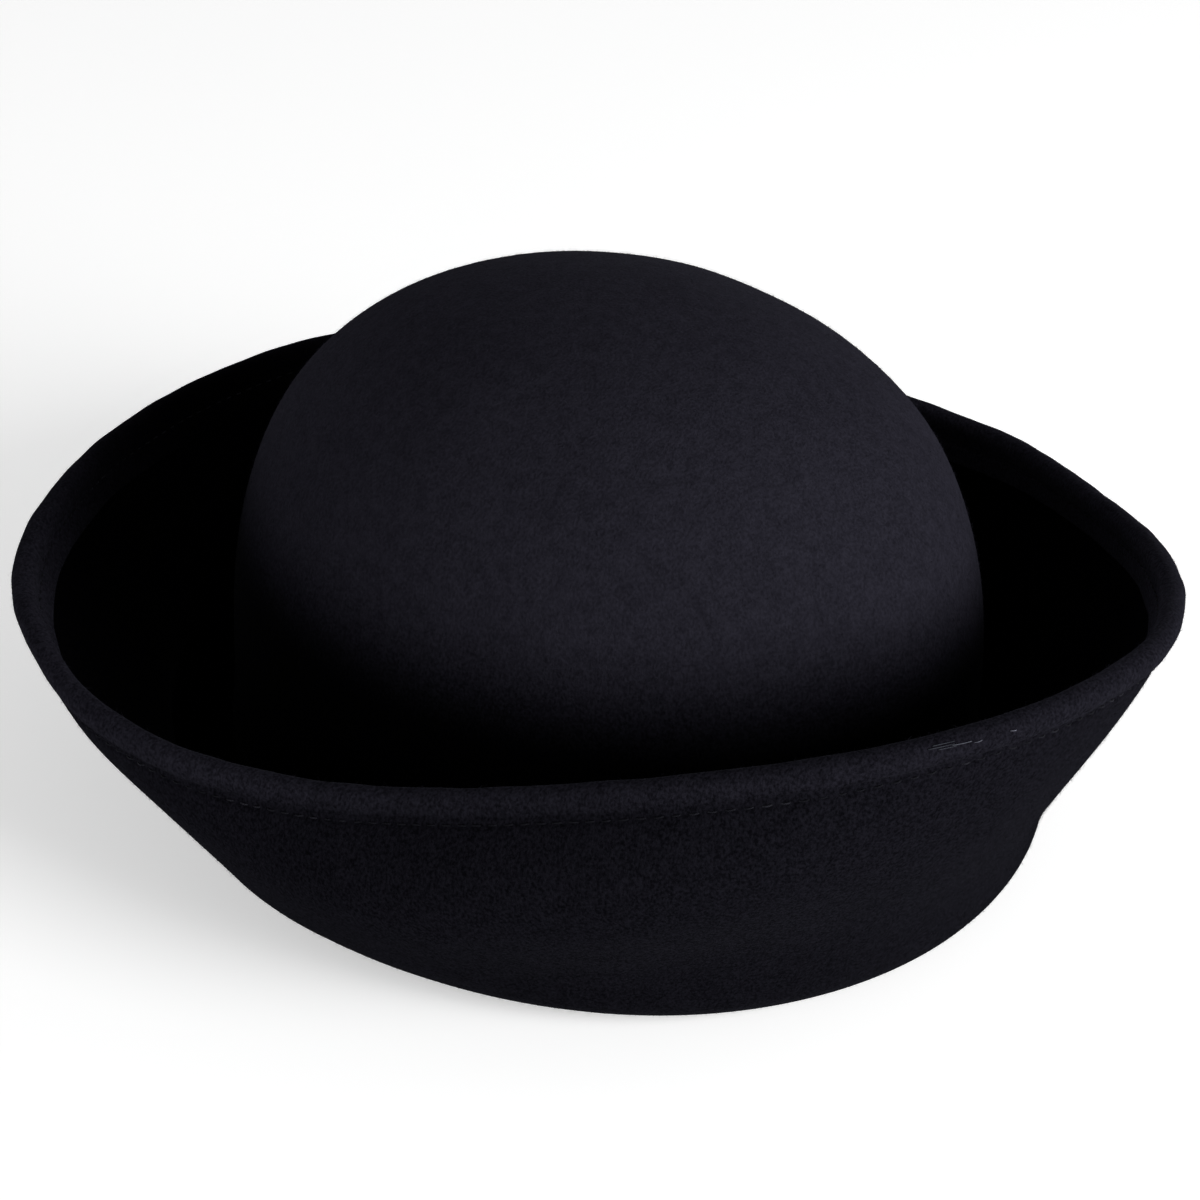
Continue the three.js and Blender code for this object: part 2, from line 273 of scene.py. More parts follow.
# a wave round the hat, sizes in millimetres: mean, then 1, 2, 3 and 4 swells, even and odd
def wave(mean, even, odd=()):
    def value(angle):
        total = mean + 0 * angle
        for k, size in enumerate(even):
            total = total + size * np.cos((k + 1) * angle)
        for k, size in enumerate(odd):
            total = total + size * np.sin((k + 1) * angle)
        return total * mm
    return value


rimRadius = wave(136.4, [-2.2, 10.9, 6, 1.8], [0.2, 0.1, -1, -3.1])
rimHeight = wave(64.9, [14.9, 10.4, 3], [0, 0.2, -1.9, -1.2])
foldReach = wave(19.8, [-1.7, -1.7, 0.7, -3])
wallBelly = wave(1, [3.9, -3, -5.3, 2.5], [-0.9, -2, -1.3])
wallFlare = wave(-2.7, [0, 0.5, -1.2, 2.4])

half = felt["thickness"] / 2
beadRadius = hem["tunnelRadius"] + half
pinch = (felt["thickness"] + felt["gap"]) / 2
quarter = math.pi / 2
step = 1e-4                  # for slopes, as a share of a curve
nearWire = 0.1               # the top of the brim line, as a share of it


def smooth(x):
    x = np.clip(x, 0, 1)
    return x * x * (3 - 2 * x)


def pair(r, z):
    return np.stack(np.broadcast_arrays(r, z), -1)


def unit(vectors):
    return vectors / np.linalg.norm(vectors, axis=-1, keepdims=True)


# radius of the crown's oval, at a depth inside its outer face
def oval(angle, inset):
    along = np.cos(angle) / (crown["halfLength"] - inset)
    across = np.sin(angle) / (crown["halfWidth"] - inset)
    return 1 / np.hypot(along, across)


# unit normal of a curve that runs down the crown and up the brim, on its outer and upper side
def normalOf(curve, u):
    along = curve(min(u + step, 1)) - curve(max(u - step, 0))
    return unit(pair(-along[..., 1], along[..., 0]))


def dome(angle, inset):
    side = oval(angle, inset)
    rise = crown["height"] - inset - crown["domeStart"]

    def curve(u):
        tilt = (1 - u) ** crown["crowding"] * quarter
        r = side * max(math.cos(tilt), 0) ** (2 / crown["narrowing"])
        return pair(r, crown["domeStart"] + rise * math.sin(tilt) ** (2 / crown["roundness"]))
    return curve


# the turned-up brim without its hem, from the resting plane to the wire
def brimLine(angle):
    foot = oval(angle, 0) + foldReach(angle) - half
    top, height = rimRadius(angle), rimHeight(angle)
    belly, flare = wallBelly(angle), wallFlare(angle)

    def curve(u):
        swell = 4 * belly * u * (1 - u) + flare * np.sin(2 * math.pi * u)
        return pair(foot + (top - foot) * u + swell, height * u)
    return curve


# length the brim line would have if it all ran as it does near the wire
def brimLength(line):
    return np.linalg.norm(line(1) - line(1 - nearWire), axis=-1) / nearWire


# points and outward normals beside the brim line, at a depth below the wire
def besideBrim(angle, below, outwards):
    line = brimLine(angle)
    u = 1 - below / brimLength(line)
    along = line(u) - line(u - step)
    normal = unit(pair(along[..., 1], -along[..., 0]))
    return line(u) + normal * np.asarray(outwards)[..., None], normal


# the wire's centre line, and the ways out of the brim and up from it
def overWire(angle):
    centre, out = besideBrim(angle, 0, 0 * angle)
    return centre, out, pair(-out[:, 1], out[:, 0])


# how far each layer of the hem stands off the brim line: round over the wire, then a crease
def layerOffset(below):
    shoulder = max(1 - (below / hem["pinchDepth"]) ** hem["shoulder"], 0) ** hem["shoulderEase"]
    return pinch + (beadRadius - pinch) * shoulder


# the felt is drawn in along the stitches and, less, in the crease under the bead
def stitchSink(below):
    stitches = (below - hem["stitchDepth"]) / hem["stitchSinkWidth"]
    crease = (below - hem["pinchDepth"]) / hem["stitchSinkWidth"]
    atStitches = hem["stitchSink"] * math.exp(-stitches * stitches)
    return atStitches + hem["creaseSink"] * math.exp(-crease * crease)


# one at an angle round the hat, in degrees, falling to nought on both sides of it
def around(angle, middle, spread):
    away = (np.degrees(angle) - middle + 180) % 360 - 180
    return np.exp(-(away / spread) ** 2)


# how light the felt is on the crown's outside, with the brim's shadow painted dark at its foot and
# a painted shade on one side, and how raised its nap is
def crownToneAndShading(angle, height):
    dip = around(angle, tonesAndShading["footDipAngle"], tonesAndShading["footDipSpread"])
    lit = smooth((height - tonesAndShading["footHeight"] + tonesAndShading["footDip"] * dip) / tonesAndShading["footFade"])
    aside = around(angle, tonesAndShading["sideDipAngle"], tonesAndShading["sideDipSpread"])
    shade = 1 - tonesAndShading["sideDip"] * aside * smooth((crown["height"] - height) / tonesAndShading["sideDipFade"])
    toneAndShading = tonesAndShading["trough"] + (tonesAndShading["crown"] * shade - tonesAndShading["trough"]) * lit
    return toneAndShading, raised["crown"] + raised["crownFoot"] * (1 - lit)


# painted light and shade on the turned edge over the wire and inside the brim: lighter where the
# key light falls, painted dark at the back
def edgeToneAndShading(angle):
    atBack = around(angle, tonesAndShading["backAngle"], tonesAndShading["backSpread"])
    dip = around(angle, tonesAndShading["beadDipAngle"], tonesAndShading["beadDipSpread"])
    swing = np.cos(angle - math.radians(tonesAndShading["flapLitAngle"]))
    bead = (tonesAndShading["bead"] - tonesAndShading["beadDip"] * dip) * (1 - tonesAndShading["backBead"] * atBack)
    flap = (tonesAndShading["flap"] + tonesAndShading["flapSwing"] * swing) * (1 - tonesAndShading["backFlap"] * atBack)
    return bead, flap


# the felt in every meridian, from the top of the crown to the cut edge of the hem: rows of points
# on its middle line, their normals away from the head, the tone with its painted light and shade
# on either side, how raised the nap is, and how far the stitches draw the felt in
def feltLine(angle):
    rows = []

    def add(part, points, normals, toneAndShading, insideToneAndShading, rough, sink=0.0):
        rows.append({"part": part, "points": points, "normals": normals, "sink": sink,
                     "toneAndShading": {1: toneAndShading, -1: insideToneAndShading}, "raised": rough})

    def addNormal(part, r, z, normal, toneAndShading, insideToneAndShading, rough=raised["floor"]):
        normals = np.broadcast_to(np.array(normal, float), (len(angle), 2))
        add(part, pair(r, z), normals, toneAndShading, insideToneAndShading, rough)

    foot = oval(angle, half) + crown["footSpread"]
    filletTop = half + trough["filletRadius"]
    landStart = foot + trough["filletRadius"]
    landEnd = landStart + trough["landWidth"]
    # the trough, the brim's inside and the wall's foot take painted shade from these levels
    head, dark, wall, low = (tonesAndShading[name] for name in ("inside", "trough", "wall", "wallFoot"))

    curve = dome(angle, half)
    for k in range(crown["rows"] + 1):
        u = k / crown["rows"]
        points = curve(u)
        toneAndShading, rough = crownToneAndShading(angle, points[:, 1])
        add("crown", points, normalOf(curve, u), toneAndShading, head, rough)
    for k in range(1, crown["sideRows"] + 1):
        part = k / crown["sideRows"]
        r = foot - crown["footSpread"] * (1 - smooth(part))
        z = crown["domeStart"] + (filletTop - crown["domeStart"]) * part
        toneAndShading, rough = crownToneAndShading(angle, z + 0 * r)
        addNormal("side", r, z, (1, 0), toneAndShading, head, rough)
    radius = trough["filletRadius"]
    for k in range(1, trough["filletRows"]):
        turn = quarter * k / trough["filletRows"]
        normal = (math.cos(turn), math.sin(turn))
        addNormal("floor", landStart - radius * normal[0], filletTop - radius * normal[1],
                  normal, dark, head)
    addNormal("floor", landStart, half, (0, 1), dark, low)
    addNormal("floor", landEnd, half, (0, 1), dark, low)

    line = brimLine(angle)
    height = rimHeight(angle)
    foldWidth = line(0)[:, 0] - landEnd

    def fold(u):
        z = trough["foldHeight"] * (1 - math.cos(u * quarter))
        return pair(line(z / height)[:, 0] - foldWidth * (1 - math.sin(u * quarter)), z + half)

    for u in np.linspace(trough["foldStart"], 1, trough["foldRows"] + 1):
        add("fold", fold(u), normalOf(fold, u), dark, low, raised["brim"])
    start = (trough["foldHeight"] + half) / height
    wallLength = (1 - start) * brimLength(line)
    for k in range(1, trough["wallRows"] + 1):
        part = k / trough["wallRows"]
        below = wallLength + (hem["depth"] - wallLength) * part
        points, normal = besideBrim(angle, below, pinch * smooth(part))
        # the wall is painted darker towards its foot as shade
        toneAndShading = low + (wall - low) * smooth(part * tonesAndShading["edgeReach"])
        add("wall", points, -normal, dark, toneAndShading, raised["brim"])

    depths = np.linspace(hem["depth"], 0, hem["rows"] + 1)
    still = np.ones_like(angle)
    bead, flap = edgeToneAndShading(angle)
    for below in depths[1:]:
        points, normal = besideBrim(angle, below, layerOffset(below) * still)
        near = smooth(1 - below / (tonesAndShading["edgeReach"] * hem["pinchDepth"]))
        add("hem", points, -normal, dark, wall + (bead - wall) * near,
            raised["brim"] - raised["beadSmoother"] * near, -stitchSink(below))
    centre, out, up = overWire(angle)
    for k in range(1, hem["beadRows"]):
        part = k / hem["beadRows"]
        normal = out * math.cos(math.pi * part) + up * math.sin(math.pi * part)
        over = smooth(2 * part - 1)
        add("bead", centre + normal * beadRadius, -normal, dark, bead + (flap - bead) * over,
            raised["bead"])
    for below in depths[::-1]:
        points, normal = besideBrim(angle, below, -layerOffset(below) * still)
        add("flap", points, normal, dark, flap, raised["bead"], -stitchSink(below))
    return rows


# meridian points placed on the hat
def onHat(points, angle, forward=0.0):
    r, z = points[..., 0], points[..., 1]
    return np.stack([r * np.sin(angle), -r * np.cos(angle) - forward, z], -1)


# slow swells of the felt: the axis each moves, its size, its run along x, y and z, and its start
swells = [
    (0, 1.0, (0.0, 0.9, 0.5), 0.6), (0, 0.5, (-0.8, 1.9, 0.0), 2.1),
    (1, 1.0, (1.0, 0.0, -0.6), 1.7), (1, 0.5, (1.7, 0.9, 0.0), 0.3),
    (2, 0.6, (0.7, 0.8, 0.0), 3.9),
]


# slow unevenness that hand blocking leaves; it dies out at the resting plane and the crown's foot
def handShaped(points):
    x, y, z = np.moveaxis(points, -1, 0)
    radius = np.hypot(x / crown["halfWidth"], y / crown["halfLength"])
    onBrim = smooth((radius - felt["brimFrom"]) / felt["brimFade"])
    onCrown = (1 - onBrim) * smooth((z - felt["crownFrom"]) / felt["crownFade"])
    size = felt["brimWander"] * onBrim + felt["crownWander"] * onCrown
    size = size * smooth((z - felt["flatBelow"]) / felt["flatFade"])
    turn = 2 * math.pi / felt["wanderLength"]
    shift = np.zeros_like(points)
    for axis, share, run, start in swells:
        shift[..., axis] += share * np.sin(turn * (points @ np.array(run)) + start)
    return points + shift * size[..., None]


# the top of the crown leans a little to the front
def lean(z):
    return crown["lean"] * smooth((z - crown["domeStart"]) / (crown["height"] - crown["domeStart"]))


origin = [0.0, 0.0]          # moved below, once the felt is laid out, to sit on the CAD solid


# a piece on the hat; marks are values of its points that its material reads
def meshPiece(name, points, faces, material, uv=None, marks=None):
    points = np.asarray(points, float).reshape(-1, 3) + np.array([*origin, 0.0])
    mesh = bpy.data.meshes.new(name)
    mesh.from_pydata(points.tolist(), [], faces)
    if uv is not None:
        layer = mesh.uv_layers.new(name="UVMap")
        corners = np.array([v for face in faces for v in face])
        layer.data.foreach_set("uv", np.asarray(uv, np.float32).reshape(-1, 2)[corners].ravel())
    for label, values in (marks or {}).items():
        mark = mesh.attributes.new(label, "FLOAT", "POINT")
        mark.data.foreach_set("value", np.asarray(values, np.float32).ravel())
    mesh.materials.append(material)
    mesh.polygons.foreach_set("use_smooth", [True] * len(mesh.polygons))
    mesh.update()
    piece = bpy.data.objects.new(name, mesh)
    bpy.context.collection.objects.link(piece)
    return piece


# quads of a grid of stations, each with `columns` points; the last may join the first
def gridFaces(stations, columns, closeStations=True, closeColumns=True, flip=False):
    faces = []
    for i in range(stations if closeStations else stations - 1):
        for j in range(columns if closeColumns else columns - 1):
            nextRow = ((i + 1) % stations) * columns
            face = (i * columns + j, i * columns + (j + 1) % columns,
                    nextRow + (j + 1) % columns, nextRow + j)
            faces.append(face[::-1] if flip else face)
    return faces


blackWool = (0.0002, 0.0002, 0.0003, 1)


# black wool felt; its points' tone sets how light it is, painted light and shade included, and
# `raised` how rough its nap is
def woolFelt():
    s = Shader("woolFelt")
    rough = s.attribute("raised")
    mottle = s.ramp(s.noise(24 * mm, 3), 0.3, 0.7)
    cloud = s.noise(3.2 * mm, 3)
    fibre = s.noise(0.8 * mm, 3, rough=0.6)
    hairs = s.noise(0.5 * mm, 2, (1, 1, 0.5))
    height = fibre * 0.6 + hairs * 0.4
    grain = s.ramp(height, 0.40, 0.60) - 0.5
    patches = mottle * 0.10 + s.ramp(cloud, 0.3, 0.7) * 0.26 + 0.82
    speckle = grain * (rough * 0.62 + 0.34) + patches
    # the felt's colour is scaled by its points' tone, which holds painted light and shade
    colour = s.blend(s.attribute("toneAndShading") * speckle, blackWool, (0.0240, 0.0230, 0.0328, 1))
    normal = s.bump(height, 0.4 * mm, 0.8, s.bump(cloud, 0.5 * mm, 0.35))
    return s.finish({"Base Color": colour, "Normal": normal}, Roughness=1.0, Specular_IOR_Level=0.0,
                    Sheen_Weight=0.012, Sheen_Roughness=0.3, Sheen_Tint=(0.82, 0.86, 1, 1))


def napFibre():
    s = Shader("napFibre")
    shade = s.ramp(s.noise(0.9 * mm, 1), 0.35, 0.65)
    hair = s.blend(shade, (0.008, 0.008, 0.011, 1), (0.055, 0.053, 0.073, 1))
    # the hairs take the tone of the felt under them, painted light and shade included
    colour = s.blend(s.attribute("toneAndShading"), blackWool, hair)
    return s.finish({"Base Color": colour}, Roughness=1.0, Specular_IOR_Level=0.0)


def twistedThread(name, dark, light):
    s = Shader(name)
    ply = s.noise(0.18 * mm, 1)
    worn = s.ramp(s.noise(14 * mm, 2), 0.52, 0.68)
    colour = s.blend(s.ramp(ply, 0.3, 0.7) * (worn * 0.7 + 0.3), (*dark, 1), (*light, 1))
    normal = s.bump(ply, 0.08 * mm, 0.8)
    return s.finish({"Base Color": colour, "Normal": normal, "Roughness": ply * 0.25 + 0.6},
                    Specular_IOR_Level=0.02)


# ribbed ribbon; its UV map is in metres, x along and y across
def grosgrain():
    s = Shader("grosgrain")
    along = s.uvAxis("X")
    across = s.uvAxis("Y")
    ribs = (along * (2 * math.pi / (0.85 * mm))).maths("SINE")
    yarns = (across * (2 * math.pi / (0.4 * mm))).maths("SINE")
    wear = s.noise(9 * mm, 3)
    shade = s.ramp(ribs, -1, 1) * 0.5 + wear * 0.35 + yarns * 0.08 + 0.05
    colour = s.blend(shade, (0.0025, 0.0025, 0.0032, 1), (0.016, 0.016, 0.020, 1))
    normal = s.bump(ribs + yarns * 0.2, 0.12 * mm, 0.9)
    return s.finish({"Base Color": colour, "Normal": normal, "Roughness": wear * 0.2 + 0.6},
                    Specular_IOR_Level=0.1, Sheen_Weight=0.02)


def labelTape():
    s = Shader("labelTape")
    pitch = 2 * math.pi / (0.35 * mm)
    weave = (s.uvAxis("X") * pitch).maths("SINE") * (s.uvAxis("Y") * pitch).maths("SINE")
    shade = s.ramp(weave, -1, 1) * 0.7 + s.noise(3 * mm) * 0.3
    colour = s.blend(shade, (0.012, 0.012, 0.015, 1), (0.045, 0.045, 0.053, 1))
    return s.finish({"Base Color": colour, "Normal": s.bump(weave, 0.06 * mm, 0.7)}, Roughness=0.4)


def metal(name, dark, light, streak):
    s = Shader(name)
    stain = s.noise(streak, 3)
    colour = s.blend(stain, (*dark, 1), (*light, 1))
    return s.finish({"Base Color": colour, "Roughness": stain * 0.3 + 0.25,
                     "Normal": s.bump(stain, 0.02 * mm, 0.5)}, Metallic=1)


feltLook = woolFelt()
napLook = napFibre()
hemThreadLook = twistedThread("hemThread", (0.0030, 0.0030, 0.0042), (0.024, 0.024, 0.031))
bandThreadLook = twistedThread("bandThread", (0.0025, 0.0025, 0.0032), (0.016, 0.016, 0.021))
dullThreadLook = twistedThread("dullThread", (0.020, 0.022, 0.027), (0.070, 0.075, 0.092))
looseThreadLook = twistedThread("looseThread", (0.050, 0.052, 0.065), (0.200, 0.205, 0.250))
ribbonLook = grosgrain()
labelLook = labelTape()
steelLook = metal("drawnSteel", (0.36, 0.36, 0.38), (0.60, 0.60, 0.62), 0.4 * mm)
brassLook = metal("crimpedBrass", (0.42, 0.28, 0.10), (0.68, 0.50, 0.24), 2.5 * mm)

# both faces of the felt, side 1 outside the crown, with their tone, painted light and shade, and
# nap
def layOutFelt(angle):
    # the edge is a little lumpy: short waves that come and go round the rim
    lumps = np.sin(31 * angle) * np.sin(7 * angle + 1) + np.sin(53 * angle + 2) * np.sin(11 * angle)
    thick = half + felt["beadWander"] * 0.5 * lumps
    rows = feltLine(angle)
    sheets = {}
    for side, top in ((1, crown["height"]), (-1, crown["height"] - felt["thickness"])):
        points, toneAndShading, rough = [], [], []
        for row in rows:
            onHem = row["part"] in ("hem", "bead", "flap")
            reach = half + 0 * angle
            if onHem and side == -1:
                reach = thick + row["sink"]
            placed = row["points"] + side * row["normals"] * reach[:, None]
            forward = lean(placed[:, 1]) if row["part"] == "crown" else 0.0
            points.append(onHat(placed, angle, forward))
            toneAndShading.append(np.broadcast_to(row["toneAndShading"][side], angle.shape))
            rough.append(np.broadcast_to(row["raised"], angle.shape))
        points = np.stack(points, 1)
        points[:, 0] = (0, -crown["lean"], top)
        sheets[side] = {"points": handShaped(points), "toneAndShading": np.stack(toneAndShading, 1),
                        "raised": np.stack(rough, 1)}
    return [row["part"] for row in rows], sheets


parts, sheets = layOutFelt(2 * np.pi * np.arange(felt["stations"]) / felt["stations"])
both = np.concatenate([sheets[side]["points"] for side in sheets], 1).reshape(-1, 3)
for k in range(2):
    origin[k] = hatCentre[k] - (both[:, k].min() + both[:, k].max()) / 2
makeCamera(origin)
print("camera set, felt centred at", [round(v, 5) for v in origin])


# one closed skin: down the outside to the cut edge of the hem and back up the inside
def feltPiece():
    loop = {key: np.concatenate([sheets[1][key], sheets[-1][key][:, ::-1]], 1) for key in sheets[1]}
    stations, columns = loop["toneAndShading"].shape
    poles = (0, columns - 1)
    faces = []
    for face in gridFaces(stations, columns, True, False):
        corners = []
        for v in face:
            v = v % columns if v % columns in poles else v      # every row starts at the same top
            if v not in corners:
                corners.append(v)
        faces.append(corners)
    piece = meshPiece("felt_hat", loop["points"], faces, feltLook,
                      marks={key: loop[key] for key in ("toneAndShading", "raised")})
    work = bmesh.new()
    work.from_mesh(piece.data)
    bmesh.ops.delete(work, geom=[v for v in work.verts if not v.link_faces], context="VERTS")
    work.to_mesh(piece.data)
    work.free()
    return piece


hatFelt = feltPiece()
print("felt:", len(hatFelt.data.polygons), "faces")

nap = {
    "length": 1.3 * mm, "width": 0.045 * mm,
    "tilt": (0.8, 1.48), "sizes": (0.4, 1.3),                  # the lean of a hair, in radians
    "crown_nap": 520000, "brim_nap": 520000, "trough_nap": 240000,      # hairs on a square metre
}


# short hairs that lie at all angles on the felt
def napTree():
    t = Tree("nap", Density="Float", Length="Float", Width="Float")
    spread = {"Mesh": t.given("Geometry"), "Density": t.given("Density"), "Seed": t.given("Seed")}
    places = t.node("GeometryNodeDistributePointsOnFaces", None, spread)
    upright = Link(t, places.socket.node.outputs["Rotation"])
    hair = t.node("GeometryNodeMeshCone", None, {
        "Vertices": 3, "Side Segments": 1, "Fill Segments": 1, "Radius Top": 0.0,
        "Radius Bottom": t.given("Width") * 0.5, "Depth": t.given("Length")})
    least, most = nap["tilt"]
    laid = t.turned(upright, (least, 0.0, 0.0), (most, 0.0, 2 * math.pi))
    t.finish(places, hair, laid, *nap["sizes"])
    return t


def growNap():
    tree = napTree()
    wanted = {
        "crown_nap": (1, ("crown", "side")),
        "trough_nap": (1, ("floor", "fold", "wall")),
        "brim_nap": (-1, ("fold", "wall", "hem", "bead", "flap")),
    }
    made = []
    for seed, (name, (side, stretches)) in enumerate(wanted.items(), 11):
        lowest = sheets[side]["points"][:, :, 2].min(0)              # no hair reaches the floor
        chosen = [k for k, part in enumerate(parts)
                  if part in stretches and k > 0 and lowest[k] > 2 * nap["length"]]
        points, toneAndShading = (sheets[side][key][:, chosen] for key in ("points", "toneAndShading"))
        faces = gridFaces(*toneAndShading.shape, True, False, side == -1)
        piece = meshPiece(name, points, faces, napLook, marks={"toneAndShading": toneAndShading})
        made.append(tree.grow(piece, Density=nap[name], Length=nap["length"], Width=nap["width"],
                              Seed=seed, Material=napLook))
    return made


naps = growNap()

stitch = {
    "pitch": 3.8 * mm, "length": 2.6 * mm, "radius": 0.22 * mm, "rise": 0.22 * mm, "dip": 0.5 * mm,
    "sway": (0.1, 0.07, 0.09), "sizes": (0.92, 1.06), "guidePoints": 720,
}


# separate stitches along a line whose points know the way out of the cloth
def stitchTree():
    t = Tree("stitches", Pitch="Float", Length="Float", Radius="Float", Rise="Float", Dip="Float")
    line = t.node("GeometryNodeMeshToCurve", None, {"Mesh": t.given("Geometry")})
    spaced = t.node("GeometryNodeResampleCurve", {"mode": "LENGTH"},
                    {"Curve": line, "Length": t.given("Pitch")})
    out = t.node("GeometryNodeInputNamedAttribute", {"data_type": "FLOAT_VECTOR"}, {"Name": "out"})
    facing = t.node("FunctionNodeAxesToRotation", {"primary_axis": "Z", "secondary_axis": "X"},
                    {"Primary Axis": out, "Secondary Axis": t.node("GeometryNodeInputTangent")})
    laid = t.turned(facing, tuple(-turn for turn in stitch["sway"]), stitch["sway"])
    reach, low = t.given("Length") * 0.5, t.given("Dip") * -1
    start = t.node("ShaderNodeCombineXYZ", None, {"X": reach * -1, "Z": low})
    end = t.node("ShaderNodeCombineXYZ", None, {"X": reach, "Z": low})
    peak = t.node("ShaderNodeCombineXYZ", None, {"Z": t.given("Rise") * 2 + t.given("Dip")})
    arch = t.node("GeometryNodeCurveQuadraticBezier", None,
                  {"Resolution": 6, "Start": start, "Middle": peak, "End": end})
    circle = t.node("GeometryNodeCurvePrimitiveCircle", None,
                    {"Resolution": 5, "Radius": t.given("Radius")})
    yarn = t.node("GeometryNodeCurveToMesh", None,
                  {"Curve": arch, "Profile Curve": circle, "Fill Caps": True})
    t.finish(spaced, yarn, laid, *stitch["sizes"])
    return t


# a row of stitches along points; `out` is the way out of the cloth at each
def stitchRow(name, tree, points, out, look, seed, closed=True):
    count = len(points)
    edges = [(k, (k + 1) % count) for k in range(count if closed else count - 1)]
    mesh = bpy.data.meshes.new(name)
    mesh.from_pydata((points + np.array([*origin, 0.0])).tolist(), edges, [])
    facing = mesh.attributes.new("out", "FLOAT_VECTOR", "POINT")
    facing.data.foreach_set("vector", np.asarray(out, np.float32).ravel())
    piece = bpy.data.objects.new(name, mesh)
    bpy.context.collection.objects.link(piece)
    return tree.grow(piece, Pitch=stitch["pitch"], Length=stitch["length"], Radius=stitch["radius"],
                     Rise=stitch["rise"], Dip=stitch["dip"], Seed=seed, Material=look)


# along the hem, outside the brim, side 1, or on the turned-in edge
def hemRow(name, tree, side, look, seed):
    angle = np.linspace(0, 2 * np.pi, stitch["guidePoints"], endpoint=False)
    surface = pinch + half - stitchSink(hem["stitchDepth"])
    points, normal = besideBrim(angle, hem["stitchDepth"], side * surface + 0 * angle)
    points = handShaped(onHat(points, angle))
    return stitchRow(name, tree, points, onHat(side * normal, angle), look, seed)


stitching = stitchTree()
hemNeedle = hemRow("hem_needle_stitches", stitching, 1, hemThreadLook, 21)
hemBobbin = hemRow("hem_bobbin_stitches", stitching, -1, bandThreadLook, 22)

# ribbon inside the mouth of the crown, its ends overlapped at the back; angles in degrees
band = {
    "bottom": 7 * mm, "height": 28 * mm, "thickness": 0.9 * mm,
    "overlap": 14, "stitchHeight": 10 * mm,
    "stations": 240, "rows": 12, "cutLength": 0.592, "wander": 0.25 * mm, "wavesRound": 9,
    "tackMargin": 2 * mm, "tackPoints": 40,
}
label = {
    "width": 10 * mm, "height": 16 * mm, "thickness": 0.35 * mm, "angle": 172, "drop": 4 * mm,
    "bow": 0.45 * mm, "foldRoom": 0.75, "stations": 10, "rows": 10, "foldRows": 5,
}
tapeEdge = {"thinner": 0.6, "sharpness": 12}                   # woven edges are thinner
backAngle = math.pi


# radius on the crown's inside at a height, at a distance in from its inner face
def insideCrown(angle, z, distance):
    inset = felt["thickness"] + distance
    start = crown["domeStart"]
    rise = np.clip(z - start, 0, None) / (crown["height"] - inset - start)
    tilt = np.arcsin(rise ** (crown["roundness"] / 2))
    spread = crown["footSpread"] * np.clip((start - z) / (start - trough["filletRadius"]), 0, 1)
    return oval(angle, inset) * np.cos(tilt) ** (2 / crown["narrowing"]) + spread


# tape along meridian paths, one path for each angle, closed at its ends
def tapePiece(name, angle, path, thickness, look):
    along = unit(np.gradient(path, axis=1))
    across = np.stack([-along[..., 1], along[..., 0]], -1)
    edge = np.linspace(-1, 1, path.shape[1]) ** tapeEdge["sharpness"]
    reach = across * (thickness / 2 * (1 - edge * tapeEdge["thinner"]))[None, :, None]
    loop = np.concatenate([path + reach, (path - reach)[:, ::-1]], 1)
    stations, columns = loop.shape[:2]
    run = np.concatenate([[0], np.cumsum(np.diff(angle))])[:, None] * path[..., 0].mean()
    rise = np.concatenate([[0], np.cumsum(np.linalg.norm(np.diff(path[0], axis=0), axis=1))])
    rise = np.concatenate([rise, rise[::-1]])[None, :]
    uv = np.stack(np.broadcast_arrays(run, rise), -1)
    faces = gridFaces(stations, columns, False, True, True)
    last = (stations - 1) * columns
    for k in range(columns // 2 - 1):
        faces.append((k, k + 1, columns - 2 - k, columns - 1 - k))
        faces.append((last + columns - 1 - k, last + columns - 2 - k, last + k + 1, last + k))
    return meshPiece(name, onHat(loop, angle[:, None]), faces, look, uv)


# how far the ribbon stands off the felt; its last stretch lies over its first
def bandClearance(angle, end, overlap):
    settle = smooth((angle - (end - 2 * overlap)) / overlap)
    ease = band["wander"] * (1 + np.sin(band["wavesRound"] * angle))
    over = band["thickness"] + felt["gap"] + 2 * band["wander"]
    return felt["gap"] + ease * (1 - settle) + over * settle


# from the felt to the inner face of the ribbon where it is double
def doubleBand():
    return 2 * (band["thickness"] + felt["gap"]) + 2 * band["wander"]


# the ribbon starts and ends at the back, where it overlaps
def sweatband():
    overlap = math.radians(band["overlap"])
    start = backAngle - overlap / 2
    end = start + 2 * math.pi + overlap
    angle = np.linspace(start, end, band["stations"])
    z = band["bottom"] + band["height"] * np.linspace(0, 1, band["rows"])[None, :]
    inset = bandClearance(angle, end, overlap)[:, None] + band["thickness"] / 2
    path = pair(insideCrown(angle[:, None], z, inset), z)
    return tapePiece("sweatband_ribbon", angle, path, band["thickness"], ribbonLook)


# blank loop of tape: down, round a fold and up again
def sizeLabel():
    centre = math.radians(label["angle"])
    reach = label["width"] / 2 / crown["halfLength"]
    angle = np.linspace(centre - reach, centre + reach, label["stations"])
    top = band["bottom"] + band["height"] - label["drop"]
    t = np.linspace(0, 1, label["rows"])
    fall = top - label["height"] * t
    bow = label["thickness"] * label["foldRoom"] + label["bow"] * np.sin(quarter * t)
    turn = np.linspace(-quarter, quarter, label["foldRows"] + 2)[1:-1]
    low = fall[-1] - bow[-1] * np.cos(turn)
    z = np.concatenate([fall, low, fall[::-1]])[None, :]
    depth = np.concatenate([-bow, bow[-1] * np.sin(turn), bow[::-1]])[None, :]
    stand = doubleBand() + label["bow"] + 2 * label["thickness"]
    path = pair(insideCrown(angle[:, None], z, stand + depth), z)
    return tapePiece("label_loop", angle, path, label["thickness"], labelLook)


